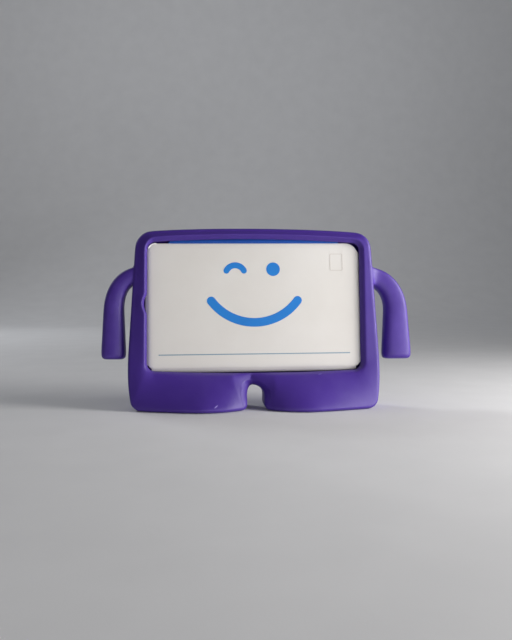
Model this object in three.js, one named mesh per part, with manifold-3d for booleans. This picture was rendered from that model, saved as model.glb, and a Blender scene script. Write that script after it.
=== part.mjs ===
// A child's tablet case of soft moulded foam, shaped as a small standing figure: a thick frame with two hanging
// arms for handles and two broad legs to stand on. A folded display card fills the pocket in place of a tablet.
// Millimetres. The figure is drawn upright, x to the right, z up and y to the back, with y = 0 at the lip's
// underside and z = 0 at the toes, and is then leaned back until both soles are level.
import * as THREE from "three";
import { mergeVertices } from "three/addons/utils/BufferGeometryUtils.js";
import Module from "manifold-3d";

// Pocket for the tablet
const POCKET_WIDTH = 202;
const POCKET_HEIGHT = 124;
const POCKET_DEPTH = 9.5;
const POCKET_CORNER = 10.5;

// Lip that holds the tablet in
const LIP_COVER = 3;
const LIP_EDGE = 2;
const LIP_BEVEL = 3.7;
const BASE_BEVEL = 2.4;
const LIP_BOW = 3;
const LIP_SAG = 2.2;

// Frame around the pocket
const RIM_FRONT = 6;
const RIM_DROP = 1.8;
const BACK_WALL = 7.5;
const TOP_WALL = 7.4;
const TOP_BOW = 2.7;
const SHOULDER_WALL = 8.1;
const HIP_WALL = 13.9;
const HIP_RISE = 16;
const HIP_SWELL = 0.6;
const TOP_CORNER = 16;
const FRONT_ROUND = 3;
const BACK_ROUND = 8.5;

// Legs
const LEG_HEIGHT = 34.6;
const FOOT_WALL = 11.2;
const TOE_REACH = 25;
const HEEL_REACH = 12;
const FULLEST_AT = 0.42;
const CLEFT_REACH = 0.2;
const HIP_THINNING = 0.8;
const FOOT_CORNER = 10.5;
const SOLE_ROUND = 4;
const CLEFT_SHIFT = -4;
const CLEFT_SPREAD = 20;
const NOTCH_WIDTH = 15;
const NOTCH_HEIGHT = 23.5;
const NOTCH_ARCH = 9;
const NOTCH_FLARE = 5.5;
const NOTCH_DRAFT = 3.2;
const LEAN = THREE.MathUtils.degToRad(6);

// Arms: as the photo shows them, the left one is turned narrow side on and lies closer to the frame
const SHOULDER_RISE = 90;
const ARM_BEND = 31;
const ARM_FORWARD = 1;
const HAND_ROUND = 4.5;
const LEFT_ARM = { side: -1, reach: 129, drop: 76, rootWidth: 15.5, rootDepth: 19, handWidth: 22.5, handDepth: 22 };
const RIGHT_ARM = { side: 1, reach: 133.5, drop: 77, rootWidth: 17.5, rootDepth: 17, handWidth: 27.5, handDepth: 19 };

// Bite in the lip for the tablet's front lens
const LENS_BITE = 2.7;
const LENS_BITE_RADIUS = 14;
const LENS_RISE = 64;

// Display card, cut to the pocket less a gap at each side and at each end
const CARD_SIDE_GAP = 3.5;
const CARD_END_GAP = 4.25;
const CARD_CORNER = 9;
const CARD_THICK = 0.6;
const CARD_PROUD = 1.2;
const CARD_SHIFT = 0.1;
const CARD_LIFT = 0.9;
const CARD_TURN = THREE.MathUtils.degToRad(0.4);
const FOLD_RADIUS = 2.4;
const FLAP_SPLAY = 1.6;
const CORNER_SLIT = 7;
const TOP_FLAP_INSET = 16.5;
const TOP_FLAP_DEPTH = 5;
const TOP_FLAP_SPLAY = 2.4;
const SEAT_GAP = 0.3;

// Print on the card
const INK_THICK = 0.3;
const INK_GAP = 0.3;
const STROKE = 8;
const SMILE_SPAN = 79.5;
const SMILE_SAG = 20;
const SMILE_RISE = 61.8;
const EYE_RADIUS = 6.3;
const EYE_SPACING = 35;
const EYE_RISE = 90.8;
const WINK_SPAN = 16;
const WINK_STROKE = 5.5;
const WINK_ARCH = 5;
const WINK_LIFT = 1.3;
const RULE_LENGTH = 175.5;
const RULE_WIDTH = 0.9;
const RULE_RISE = 12.9;
const BOX_WIDTH = 12;
const BOX_HEIGHT = 15.8;
const BOX_LINE = 0.6;
const BOX_FROM_SIDE = 14;
const BOX_FROM_TOP = 10.4;

const CARD_COLOUR = 0xe3e1dc;
const FOAM_COLOUR = 0x5a3da8;
const INK_BLUE = 0x2a7fd0;
const FLAP_BLUE = 0x2247a8;
const RULE_BLUE = 0x9fc0d6;
const BOX_GREY = 0xc9c4be;

const wasm = await Module();
wasm.setup();

// Heights and half widths that follow from the sizes above
const pocketBase = LEG_HEIGHT;
const pocketTop = LEG_HEIGHT + POCKET_HEIGHT;
const windowHalf = POCKET_WIDTH / 2 - LIP_COVER;
const windowBase = pocketBase + LIP_COVER;
const windowTop = pocketTop - LIP_COVER;
const shoulderHalf = POCKET_WIDTH / 2 + SHOULDER_WALL;
const hipHalf = POCKET_WIDTH / 2 + HIP_WALL;
const footHalf = POCKET_WIDTH / 2 + FOOT_WALL;
const rimTop = pocketTop + TOP_WALL;
const backFace = POCKET_DEPTH + BACK_WALL;
const toeDepth = -(RIM_FRONT + TOE_REACH);
const notchHalf = NOTCH_WIDTH / 2;
const cardWidth = POCKET_WIDTH - 2 * CARD_SIDE_GAP;
const cardHeight = POCKET_HEIGHT - 2 * CARD_END_GAP;

const line = (a, b) => new THREE.LineCurve(new THREE.Vector2(...a), new THREE.Vector2(...b));
const bend = (a, b, c) =>
  new THREE.QuadraticBezierCurve(new THREE.Vector2(...a), new THREE.Vector2(...b), new THREE.Vector2(...c));

// A quarter of an ellipse round a centre, from one angle to another in degrees, clockwise as seen from the front
const quarter = (centre, radiusX, radiusZ, from, to) =>
  new THREE.EllipseCurve(
    ...centre, radiusX, radiusZ, THREE.MathUtils.degToRad(from), THREE.MathUtils.degToRad(to), true);

// The right half of the frame as pairs of curves: the window's edge, and the outline that it is joined to
function halfOutline() {
  const corner = POCKET_CORNER - LIP_COVER;
  const archBase = NOTCH_HEIGHT - NOTCH_ARCH;
  const bowTop = rimTop + TOP_BOW;
  const hipHeight = pocketBase + HIP_RISE;
  const baseHalf = windowHalf - corner;
  const baseAt = (x) => windowBase - LIP_SAG * (1 - (x / baseHalf) ** 2);
  const base = (from, to) => bend(
    [from, baseAt(from)], [(from + to) / 2, baseAt(from) + (LIP_SAG * from * (to - from)) / baseHalf ** 2],
    [to, baseAt(to)]);
  return [
    {
      window: bend([0, windowTop + LIP_BOW], [windowHalf / 2, windowTop + LIP_BOW], [windowHalf - corner, windowTop]),
      outer: bend([0, bowTop], [shoulderHalf / 2, bowTop], [shoulderHalf - TOP_CORNER, rimTop]),
      steps: 8, low: [0, 0], sole: [0, 0], draft: [0, 0],
    },
    {
      window: quarter([windowHalf - corner, windowTop - corner], corner, corner, 90, 0),
      outer: quarter([shoulderHalf - TOP_CORNER, rimTop - TOP_CORNER], TOP_CORNER, TOP_CORNER, 90, 0),
      steps: 6, low: [0, 0], sole: [0, 0], draft: [0, 0],
    },
    {
      window: line([windowHalf, windowTop - corner], [windowHalf, windowBase + corner]),
      outer: line([shoulderHalf, rimTop - TOP_CORNER], [hipHalf, hipHeight]),
      steps: 11, low: [0, 0], sole: [0, 0], draft: [0, 0],
    },
    {
      window: quarter([windowHalf - corner, windowBase + corner], corner, corner, 0, -45),
      outer: bend([hipHalf, hipHeight], [hipHalf + HIP_SWELL, hipHeight / 2], [footHalf, FOOT_CORNER]),
      steps: 6, low: [0, 1], sole: [0, 0], draft: [0, 0],
    },
    {
      window: quarter([windowHalf - corner, windowBase + corner], corner, corner, -45, -90),
      outer: quarter([footHalf - FOOT_CORNER, FOOT_CORNER], FOOT_CORNER, FOOT_CORNER, 0, -90),
      steps: 5, low: [1, 1], sole: [0, 1], draft: [0, 0],
    },
    {
      window: base(baseHalf, 3 * notchHalf),
      outer: line([footHalf - FOOT_CORNER, 0], [notchHalf + NOTCH_FLARE, 0]),
      steps: 11, low: [1, 1], sole: [1, 1], draft: [0, 0],
    },
    {
      window: base(3 * notchHalf, 2 * notchHalf),
      outer: quarter([notchHalf + NOTCH_FLARE, NOTCH_FLARE], NOTCH_FLARE, NOTCH_FLARE, 270, 180),
      steps: 4, low: [1, 1], sole: [1, 1], draft: [0, 0.25],
    },
    {
      window: base(2 * notchHalf, notchHalf),
      outer: line([notchHalf, NOTCH_FLARE], [notchHalf, archBase]),
      steps: 3, low: [1, 1], sole: [1, 1], draft: [0.25, 1],
    },
    {
      window: base(notchHalf, 0),
      outer: new THREE.EllipseCurve(0, archBase, notchHalf, NOTCH_ARCH, 0, Math.PI / 2, false),
      steps: 4, low: [1, 1], sole: [1, 1], draft: [1, 0],
    },
  ];
}

// Points round the frame, anticlockwise from the front, each with its place on the window's edge and on the outline,
// the way into the foam, how far it lies below the pocket and how far it belongs to the sole's small edge
function makeStations() {
  const half = [];
  const segments = halfOutline();
  segments.forEach((segment, index) => {
    const last = index === segments.length - 1;
    for (let step = 0; step < segment.steps + (last ? 1 : 0); step += 1) {
      const t = step / segment.steps;
      const along = segment.outer.getTangent(t);
      const edgeWay = segment.window.getTangent(t);
      half.push({
        window: segment.window.getPoint(t),
        windowOut: new THREE.Vector2(-edgeWay.y, edgeWay.x),
        outer: segment.outer.getPoint(t),
        inward: new THREE.Vector2(along.y, -along.x),
        low: THREE.MathUtils.lerp(...segment.low, t),
        sole: THREE.MathUtils.lerp(...segment.sole, t),
        draft: NOTCH_DRAFT * THREE.MathUtils.lerp(...segment.draft, t),
      });
    }
  });
  const flip = ({ x, y }) => new THREE.Vector2(-x, y);
  const mirrored = half.slice(1, -1).reverse().map((s) => ({
    ...s, window: flip(s.window), windowOut: flip(s.windowOut), outer: flip(s.outer), inward: flip(s.inward),
  }));
  return [...half, ...mirrored].reverse();
}

// How far the legs stand out at a place, from the cleft between them to 1 at the fullest, and less at the hips
function legFullness(x) {
  const fullest = FULLEST_AT * footHalf;
  const away = Math.abs(x);
  if (away < fullest) return CLEFT_REACH + (1 - CLEFT_REACH) * Math.sin((away / fullest) * (Math.PI / 2));
  return 1 - HIP_THINNING * ((away - fullest) / (footHalf - fullest)) ** 1.3;
}

// The legs start under the pocket, and at the hips higher up and more softly
function reachShare(x, z) {
  const sideways = THREE.MathUtils.smoothstep(Math.abs(x), windowHalf - POCKET_CORNER, footHalf);
  const start = pocketBase + HIP_RISE * sideways;
  return Math.max(0, 1 - z / start) ** THREE.MathUtils.lerp(1, 1.4, sideways);
}
const frontAt = (x, z) => -RIM_FRONT - TOE_REACH * legFullness(x) * reachShare(x, z);
const backAt = (x, z) => backFace + HEEL_REACH * legFullness(x) * reachShare(x, z) ** 1.3;

// A place in the figure. The cleft over the notch is pushed a little to one side. Low down, the foam is sheared so
// that toe and heel share one level sole once it leans.
function place(x, z, y) {
  const share = Math.max(0, 1 - z / pocketBase);
  const overNotch = THREE.MathUtils.smoothstep(z, NOTCH_HEIGHT - NOTCH_ARCH / 2, NOTCH_HEIGHT + NOTCH_ARCH / 2);
  const isLow = z < windowBase + LIP_BEVEL;
  const slide = isLow ? CLEFT_SHIFT * overNotch * Math.exp(-((x / CLEFT_SPREAD) ** 2)) : 0;
  return new THREE.Vector3(x + slide, y, z + Math.tan(LEAN) * (y - toeDepth) * share);
}

// The loops of the case, from the pocket's floor over the lip and the front, round the edge and across the back.
// Beside the pocket, the rim's front drops back towards the outline.
function caseLoops(stations) {
  const loops = [];
  const add = (make) => loops.push(stations.map(make));
  const off = (point, way, distance) => point.clone().addScaledVector(way, distance);
  const pocket = (s) => off(s.window, s.windowOut, LIP_COVER);
  const bevel = (s) => off(s.window, s.windowOut, THREE.MathUtils.lerp(LIP_BEVEL, BASE_BEVEL, s.low));
  const drop = (s) => RIM_DROP * (1 - s.low);
  const frontRound = (s) => THREE.MathUtils.lerp(FRONT_ROUND, SOLE_ROUND, s.sole);
  const backRound = (s) => THREE.MathUtils.lerp(BACK_ROUND, SOLE_ROUND, s.sole);
  const frontEdge = (s) => off(s.outer, s.inward, frontRound(s) + s.draft);
  const backEdge = (s) => off(s.outer, s.inward, backRound(s) + s.draft);
  add((s) => place(pocket(s).x, pocket(s).y, POCKET_DEPTH));
  add((s) => place(pocket(s).x, pocket(s).y, 0));
  add((s) => place(s.window.x, s.window.y, 0));
  add((s) => place(s.window.x, s.window.y, -LIP_EDGE));
  add((s) => place(bevel(s).x, bevel(s).y, frontAt(bevel(s).x, bevel(s).y)));
  for (const share of [0.2, 0.4, 0.6, 0.8, 1]) {
    add((s) => {
      const p = bevel(s).lerp(frontEdge(s), share);
      return place(p.x, p.y, frontAt(p.x, p.y) + drop(s) * share);
    });
  }
  for (const turn of [22.5, 45, 67.5, 90]) {
    const angle = THREE.MathUtils.degToRad(turn);
    add((s) => {
      const edge = frontEdge(s);
      const p = edge.clone().lerp(s.outer, Math.sin(angle));
      return place(p.x, p.y, frontAt(edge.x, edge.y) + drop(s) + frontRound(s) * (1 - Math.cos(angle)));
    });
  }
  for (const turn of [90, 60, 30, 0]) {
    const angle = THREE.MathUtils.degToRad(turn);
    add((s) => {
      const edge = backEdge(s);
      const p = edge.clone().lerp(s.outer, Math.sin(angle));
      return place(p.x, p.y, backAt(edge.x, edge.y) - backRound(s) * (1 - Math.cos(angle)));
    });
  }
  for (const share of [0.67, 0.33, 0]) {
    add((s) => {
      const p = s.window.clone().lerp(backEdge(s), share);
      return place(p.x, p.y, backAt(p.x, p.y));
    });
  }
  return loops;
}

// One closed surface over loops of equal length, with a point to close each end. Each quad is split along its
// shorter diagonal.
function skin(loops, firstPole, lastPole) {
  const count = loops[0].length;
  const points = [firstPole, ...loops.flat(), lastPole];
  const faces = [];
  const at = (loop, index) => 1 + loop * count + (index % count);
  for (let i = 0; i < count; i += 1) {
    faces.push(0, at(0, i), at(0, i + 1));
    for (let loop = 0; loop < loops.length - 1; loop += 1) {
      const quad = [at(loop, i), at(loop + 1, i), at(loop + 1, i + 1), at(loop, i + 1)];
      const [a, b, c, d] = quad.map((index) => points[index]);
      const first = a.distanceTo(c) <= b.distanceTo(d) ? 0 : 1;
      const [p, q, r, t] = [0, 1, 2, 3].map((turn) => quad[(turn + first) % 4]);
      faces.push(p, q, r, p, r, t);
    }
    faces.push(points.length - 1, at(loops.length - 1, i + 1), at(loops.length - 1, i));
  }
  const geometry = new THREE.BufferGeometry().setFromPoints(points);
  geometry.setIndex(faces);
  return geometry;
}

// Geometry to solid and back, for cuts and joins
function toSolid(geometry) {
  const bare = new THREE.BufferGeometry().setAttribute("position", geometry.getAttribute("position"));
  bare.setIndex(geometry.getIndex());
  const merged = mergeVertices(bare, 1e-4);
  return new wasm.Manifold(new wasm.Mesh({
    numProp: 3,
    vertProperties: new Float32Array(merged.getAttribute("position").array),
    triVerts: new Uint32Array(merged.getIndex().array),
  }));
}

function toGeometry(solid) {
  const made = solid.getMesh();
  const geometry = new THREE.BufferGeometry();
  geometry.setAttribute("position", new THREE.BufferAttribute(new Float32Array(made.vertProperties), 3));
  geometry.setIndex(new THREE.BufferAttribute(new Uint32Array(made.triVerts), 1));
  return geometry;
}

// One arm: out of the frame's side, round the shoulder and straight down to a blunt hand
function armGeometry({ side, reach, drop, rootWidth, rootDepth, handWidth, handDepth }) {
  const shoulderHeight = pocketBase + SHOULDER_RISE;
  const rootHalf = POCKET_WIDTH / 2 + SHOULDER_WALL / 2;
  const across = reach - shoulderHalf;
  const middle = backFace / 2 - ARM_FORWARD;
  const bendSteps = 9;
  const dropSteps = 5;
  const corners = 20;
  const squareness = 0.75;
  const bendShare = ARM_BEND / drop;
  const stops = [{ x: rootHalf, z: shoulderHeight, tilt: 0, share: 0, shrink: 0 }];
  for (let step = 0; step <= bendSteps; step += 1) {
    const turn = (step / bendSteps) * (Math.PI / 2);
    stops.push({
      x: shoulderHalf + across * Math.sin(turn), z: shoulderHeight - ARM_BEND * (1 - Math.cos(turn)),
      tilt: turn, share: bendShare * (step / bendSteps), shrink: 0,
    });
  }
  for (let step = 1; step <= dropSteps; step += 1) {
    const t = step / dropSteps;
    stops.push({
      x: reach, z: shoulderHeight - ARM_BEND - t * (drop - ARM_BEND - HAND_ROUND),
      tilt: Math.PI / 2, share: THREE.MathUtils.lerp(bendShare, 1, t), shrink: 0,
    });
  }
  for (const turn of [30, 60, 90]) {
    const angle = THREE.MathUtils.degToRad(turn);
    stops.push({
      x: reach, z: shoulderHeight - drop + HAND_ROUND * (1 - Math.sin(angle)),
      tilt: Math.PI / 2, share: 1, shrink: HAND_ROUND * (1 - Math.cos(angle)),
    });
  }
  const squared = (value) => Math.sign(value) * Math.abs(value) ** squareness;
  const loops = stops.map(({ x, z, tilt, share, shrink }) => {
    const halfWidth = THREE.MathUtils.lerp(rootWidth, handWidth, share) / 2 - shrink;
    const halfDepth = THREE.MathUtils.lerp(rootDepth, handDepth, share) / 2 - shrink;
    return Array.from({ length: corners }, (_, corner) => {
      const angle = side * (corner / corners) * 2 * Math.PI;
      const wide = halfWidth * squared(Math.cos(angle));
      const deep = halfDepth * squared(Math.sin(angle));
      return new THREE.Vector3(side * (x + wide * Math.sin(tilt)), middle + deep, z + wide * Math.cos(tilt));
    });
  });
  const middleOf = (loop) => loop.reduce((sum, p) => sum.add(p), new THREE.Vector3()).divideScalar(loop.length);
  return skin(loops, middleOf(loops[0]), middleOf(loops[loops.length - 1]));
}

// The bite's cutter widens to the front as the lip's own bevel does
function lensBiteGeometry() {
  const spread = LIP_BEVEL / (RIM_FRONT - LIP_EDGE);
  const past = 2;
  const radiusAt = (y) => LENS_BITE_RADIUS + Math.max(0, -LIP_EDGE - y) * spread;
  const depths = [-RIM_FRONT - past, -LIP_EDGE, past / 2];
  const profile = depths.map((y) => new THREE.Vector2(radiusAt(y), y));
  const closed = [new THREE.Vector2(0, depths[0]), ...profile, new THREE.Vector2(0, depths[2])];
  return new THREE.LatheGeometry(closed, 64)
    .translate(-(windowHalf + LENS_BITE) + LENS_BITE_RADIUS, 0, pocketBase + LENS_RISE);
}

function roundedRectangle(width, height, corner) {
  const halfX = width / 2 - corner;
  const halfZ = height / 2 - corner;
  const shape = new THREE.Shape();
  shape.absarc(halfX, halfZ, corner, 0, Math.PI / 2, false);
  shape.absarc(-halfX, halfZ, corner, Math.PI / 2, Math.PI, false);
  shape.absarc(-halfX, -halfZ, corner, Math.PI, 1.5 * Math.PI, false);
  shape.absarc(halfX, -halfZ, corner, 1.5 * Math.PI, 2 * Math.PI, false);
  shape.closePath();
  return shape;
}

// A flat shape drawn as seen from the front, made into a plate whose front face is at a depth
function plate(shape, thick, frontDepth, curveSegments = 8) {
  const geometry = new THREE.ExtrudeGeometry(shape, { depth: thick, bevelEnabled: false, curveSegments });
  return geometry.rotateX(Math.PI / 2).translate(0, frontDepth + thick, 0);
}

function caseGeometry() {
  const stations = makeStations();
  const middle = (windowBase + windowTop) / 2;
  const shell = skin(
    caseLoops(stations), place(0, middle, POCKET_DEPTH), place(0, middle, backFace));
  const solid = toSolid(shell)
    .add(toSolid(armGeometry(LEFT_ARM)))
    .add(toSolid(armGeometry(RIGHT_ARM)))
    .subtract(toSolid(lensBiteGeometry()));
  return toGeometry(solid);
}

// The card's panel stands a little out of the pocket, and its edges roll back into flaps that spread under the lip.
// All of it is drawn about the middle of the panel's front face.
const cardMiddle = (pocketBase + pocketTop) / 2 + CARD_LIFT;
const cardFront = -CARD_PROUD;
const flapEnd = POCKET_DEPTH - SEAT_GAP - cardFront;

// Points round the panel, anticlockwise from the front, each with the way out
function panelStations() {
  const steps = 6;
  const stations = [];
  const halfX = cardWidth / 2 - CARD_CORNER;
  const halfZ = cardHeight / 2 - CARD_CORNER;
  const corners = [[halfX, halfZ], [-halfX, halfZ], [-halfX, -halfZ], [halfX, -halfZ]];
  corners.forEach(([x, z], corner) => {
    for (let step = 0; step <= steps; step += 1) {
      const angle = (corner + step / steps) * (Math.PI / 2);
      stations.push({ x, z, out: new THREE.Vector2(Math.cos(angle), Math.sin(angle)) });
    }
  });
  return stations;
}

// A loop round the panel at a distance inside its outline and at a depth
const panelLoop = (inside, depth) => panelStations().map(({ x, z, out }) => new THREE.Vector3(
  x + out.x * (CARD_CORNER - inside), depth, z + out.y * (CARD_CORNER - inside)));

function cardGeometry() {
  const outside = [];
  const inner = [];
  const turns = [0, 22.5, 45, 67.5, 90];
  for (const turn of turns) {
    const angle = THREE.MathUtils.degToRad(turn);
    const innerRadius = FOLD_RADIUS - CARD_THICK;
    outside.push(panelLoop(FOLD_RADIUS * (1 - Math.sin(angle)), FOLD_RADIUS * (1 - Math.cos(angle))));
    inner.push(panelLoop(FOLD_RADIUS - innerRadius * Math.sin(angle), FOLD_RADIUS - innerRadius * Math.cos(angle)));
  }
  outside.push(panelLoop(-FLAP_SPLAY, flapEnd));
  inner.push(panelLoop(CARD_THICK - FLAP_SPLAY, flapEnd));
  const lid = skin(
    [...outside, ...inner.reverse()], new THREE.Vector3(), new THREE.Vector3(0, CARD_THICK, 0));

  // The flaps stop short of the corners, and the upper one is a piece of its own
  let solid = toSolid(lid);
  const slitDepth = 2 * POCKET_DEPTH;
  const behindPanel = FOLD_RADIUS / 2;
  for (const x of [-1, 1]) {
    for (const z of [-1, 1]) {
      const cut = new THREE.BoxGeometry(2 * CORNER_SLIT, slitDepth, 2 * CORNER_SLIT).translate(
        x * cardWidth / 2, behindPanel + slitDepth / 2, z * cardHeight / 2);
      solid = solid.subtract(toSolid(cut));
    }
  }
  const topCut = new THREE.BoxGeometry(cardWidth, slitDepth, 2 * CARD_CORNER).translate(
    0, behindPanel + slitDepth / 2, cardHeight / 2);
  return toGeometry(solid.subtract(toSolid(topCut)));
}

// The upper flap stands up behind the panel's edge, against the lip
function topFlapGeometry() {
  const length = cardWidth - 2 * TOP_FLAP_INSET;
  const start = FOLD_RADIUS / 2 + SEAT_GAP;
  const foot = cardHeight / 2 - FOLD_RADIUS;
  const head = cardHeight / 2 + TOP_FLAP_SPLAY;
  const shape = new THREE.Shape();
  shape.moveTo(start, foot);
  shape.quadraticCurveTo(start, foot + FOLD_RADIUS, start + TOP_FLAP_DEPTH / 2, (foot + head + FOLD_RADIUS) / 2);
  shape.lineTo(start + TOP_FLAP_DEPTH, head);
  shape.lineTo(start + TOP_FLAP_DEPTH + CARD_THICK, head);
  shape.lineTo(start + TOP_FLAP_DEPTH + CARD_THICK, head - CARD_THICK);
  shape.quadraticCurveTo(start + 2 * CARD_THICK, foot + FOLD_RADIUS, start + 2 * CARD_THICK, foot);
  shape.closePath();
  // Drawn with depth along x and height along y, then turned so that its length runs along the card
  return new THREE.ExtrudeGeometry(shape, { depth: length, bevelEnabled: false, curveSegments: 8 })
    .rotateX(Math.PI / 2).rotateZ(Math.PI / 2).translate(-length / 2, 0, 0);
}

// An arc of ink with round ends, drawn about its own lowest or highest point
function strokeShape(span, sag, stroke, up) {
  const radius = (span * span / 4 + sag * sag) / (2 * sag);
  const half = Math.asin(span / 2 / radius);
  const middle = up ? Math.PI / 2 : -Math.PI / 2;
  const centre = up ? -radius : radius;
  const shape = new THREE.Shape();
  const endAt = (angle) => [radius * Math.cos(angle), centre + radius * Math.sin(angle)];
  const [endX, endZ] = endAt(middle + half);
  const [startX, startZ] = endAt(middle - half);
  shape.absarc(0, centre, radius + stroke / 2, middle - half, middle + half, false);
  shape.absarc(endX, endZ, stroke / 2, middle + half, middle + half + Math.PI, false);
  shape.absarc(0, centre, radius - stroke / 2, middle + half, middle - half, true);
  shape.absarc(startX, startZ, stroke / 2, middle - half + Math.PI, middle - half + 2 * Math.PI, false);
  return shape;
}

// A print on the panel: across is from the card's middle line and rise from its lower edge
function ink(shape, across, rise) {
  return plate(shape, INK_THICK, -INK_GAP - INK_THICK, 14).translate(across, 0, rise - cardHeight / 2);
}

function smileGeometry() {
  return ink(strokeShape(SMILE_SPAN, SMILE_SAG, STROKE, false), 0, SMILE_RISE - SMILE_SAG);
}

function winkGeometry() {
  const shape = strokeShape(WINK_SPAN, WINK_ARCH, WINK_STROKE, true);
  return ink(shape, -EYE_SPACING / 2, EYE_RISE + WINK_LIFT + WINK_ARCH / 2);
}

function openEyeGeometry() {
  return ink(new THREE.Shape().absarc(0, 0, EYE_RADIUS, 0, 2 * Math.PI, false), EYE_SPACING / 2, EYE_RISE);
}

function ruleGeometry() {
  return ink(roundedRectangle(RULE_LENGTH, RULE_WIDTH, RULE_WIDTH / 3), 0, RULE_RISE);
}

function boxGeometry() {
  const shape = roundedRectangle(BOX_WIDTH, BOX_HEIGHT, 2 * BOX_LINE);
  shape.holes.push(roundedRectangle(BOX_WIDTH - 2 * BOX_LINE, BOX_HEIGHT - 2 * BOX_LINE, BOX_LINE));
  return ink(
    shape, cardWidth / 2 - BOX_FROM_SIDE - BOX_WIDTH / 2, cardHeight - BOX_FROM_TOP - BOX_HEIGHT / 2);
}

function piece(name, geometry, color, roughness) {
  const mesh = new THREE.Mesh(geometry, new THREE.MeshStandardMaterial({ color, roughness, metalness: 0 }));
  mesh.name = name;
  return mesh;
}

// The card sits a little crooked in its pocket, with its print
const displayCard = new THREE.Group();
displayCard.add(
  piece("display_card", cardGeometry(), CARD_COLOUR, 0.55),
  piece("top_flap", topFlapGeometry(), FLAP_BLUE, 0.55),
  piece("smile_print", smileGeometry(), INK_BLUE, 0.5),
  piece("winking_eye_print", winkGeometry(), INK_BLUE, 0.5),
  piece("open_eye_print", openEyeGeometry(), INK_BLUE, 0.5),
  piece("rule_print", ruleGeometry(), RULE_BLUE, 0.5),
  piece("box_print", boxGeometry(), BOX_GREY, 0.6),
);
displayCard.rotation.y = -CARD_TURN;
displayCard.position.set(CARD_SHIFT, cardFront, cardMiddle);

const figure = new THREE.Group();
figure.add(piece("case_body", caseGeometry(), FOAM_COLOUR, 0.62), displayCard);

// Lean the figure back until its soles are level, stand it at z = 0 and centre it from front to back
figure.rotation.x = -LEAN;
figure.updateMatrixWorld(true);
const extent = new THREE.Box3().setFromObject(figure, true);
figure.position.set(-(extent.min.x + extent.max.x) / 2, -(extent.min.y + extent.max.y) / 2, -extent.min.z);

const tabletCase = new THREE.Group();
tabletCase.add(figure);

export default tabletCase;
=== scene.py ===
"""A child's foam tablet case, shaped as a small standing figure, with its display card: looks, light and camera."""
import math

import bmesh
import bpy
from mathutils import Matrix, Vector


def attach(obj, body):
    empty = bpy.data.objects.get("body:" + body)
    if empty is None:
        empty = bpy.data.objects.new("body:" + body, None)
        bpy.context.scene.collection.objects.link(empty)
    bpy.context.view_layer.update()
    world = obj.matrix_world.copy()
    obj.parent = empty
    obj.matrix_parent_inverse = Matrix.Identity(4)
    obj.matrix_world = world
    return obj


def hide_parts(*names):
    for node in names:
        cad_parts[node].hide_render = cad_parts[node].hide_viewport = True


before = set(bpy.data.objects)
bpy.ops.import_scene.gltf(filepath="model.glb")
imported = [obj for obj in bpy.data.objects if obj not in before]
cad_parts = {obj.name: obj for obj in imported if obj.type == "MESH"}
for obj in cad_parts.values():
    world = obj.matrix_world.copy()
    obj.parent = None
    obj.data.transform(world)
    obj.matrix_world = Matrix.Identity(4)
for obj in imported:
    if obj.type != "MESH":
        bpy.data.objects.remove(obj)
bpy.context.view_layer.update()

# Sizes in millimetres. The figure is drawn upright, x to the right, z up and y to the back, with y = 0 at the lip's
# underside and z = 0 at the toes. The solids have the same sizes, apart from the scene's own small forms: the rim's
# steeper slope, the narrow left bevel, the V between the legs and the left hand that is set back.
POCKET_HALF = 101
POCKET_BASE = 34.6
POCKET_TOP = 158.6
POCKET_DEPTH = 9.5
POCKET_CORNER = 10.5
LIP_COVER = 3
LIP_EDGE = 2
LIP_BEVEL = 3.7
LEFT_BEVEL = 1.5
BASE_BEVEL = 2.4
LIP_BOW = 3
LIP_SAG = 2.2
RIM_FRONT = 6
RIM_DROP = 3
RIM_DROP_RIGHT = 0.5
BACK_FACE = 17
RIM_TOP = 166
TOP_BOW = 2.7
SHOULDER_HALF = 109.1
HIP_HALF = 114.9
HIP_HEIGHT = 50.6
FOOT_HALF = 112.2
TOP_CORNER = 16
FOOT_CORNER = 10.5
FRONT_ROUND = 3
BACK_ROUND = 8.5
SOLE_ROUND = 4
TOE_REACH = 25
HEEL_REACH = 12
NOTCH_HALF = 7.5
NOTCH_HEIGHT = 23.5
NOTCH_ARCH = 9
NOTCH_FLARE = 5.5
NOTCH_WALL = 7.2
CLEFT_SHIFT = -4
CLEFT_SPREAD = 20
CLEFT_DEPTH = 4.6
CLEFT_WIDTH = 19
LEAN = math.radians(6)
FIGURE_PLACE = Vector((-3.5, -3.08, -3.24))
FIGURE_TO_ROW = (
    Matrix.Scale(0.001, 4)
    @ Matrix.Translation(FIGURE_PLACE)
    @ Matrix.Rotation(-LEAN, 4, "X")
)

WINDOW_HALF = POCKET_HALF - LIP_COVER
WINDOW_BASE = POCKET_BASE + LIP_COVER
WINDOW_TOP = POCKET_TOP - LIP_COVER
WINDOW_CORNER = POCKET_CORNER - LIP_COVER
TOE_DEPTH = -(RIM_FRONT + TOE_REACH)
LOW_TOP = WINDOW_BASE + LIP_BEVEL

# Arms and the bite in the lip
SHOULDER_HEIGHT = 124.6
ARM_BEND = 31
ROOT_MIDDLE = 7.5
HAND_ROUND = 4.5
INNER_ROUNDNESS = 0.35
OUTER_ROUNDNESS = 0.25
BITE_HEIGHT = 98.6
BITE_DEPTH = 2.7
BITE_RADIUS = 14

# Places down the frame's side where the cage has a row, as shares of the side's length
RIGHT_ROWS = (0, 0.08, 0.142, 0.18, 0.218, 0.2555, 0.293, 0.331, 0.372, 0.45, 0.55, 0.66, 0.77, 0.88)
LEFT_ROWS = (0, 0.08, 0.142, 0.18, 0.218, 0.2555, 0.293, 0.331, 0.365, 0.39, 0.41, 0.43, 0.455, 0.48, 0.505,
             0.53, 0.55, 0.57, 0.6, 0.66, 0.77, 0.88)
ARM_ROWS = (0.18, 0.331)


def lerp(a, b, share):
    return a + (b - a) * share


def smoothstep(low, high, value):
    share = min(1, max(0, (value - low) / (high - low)))
    return share * share * (3 - 2 * share)


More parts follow.
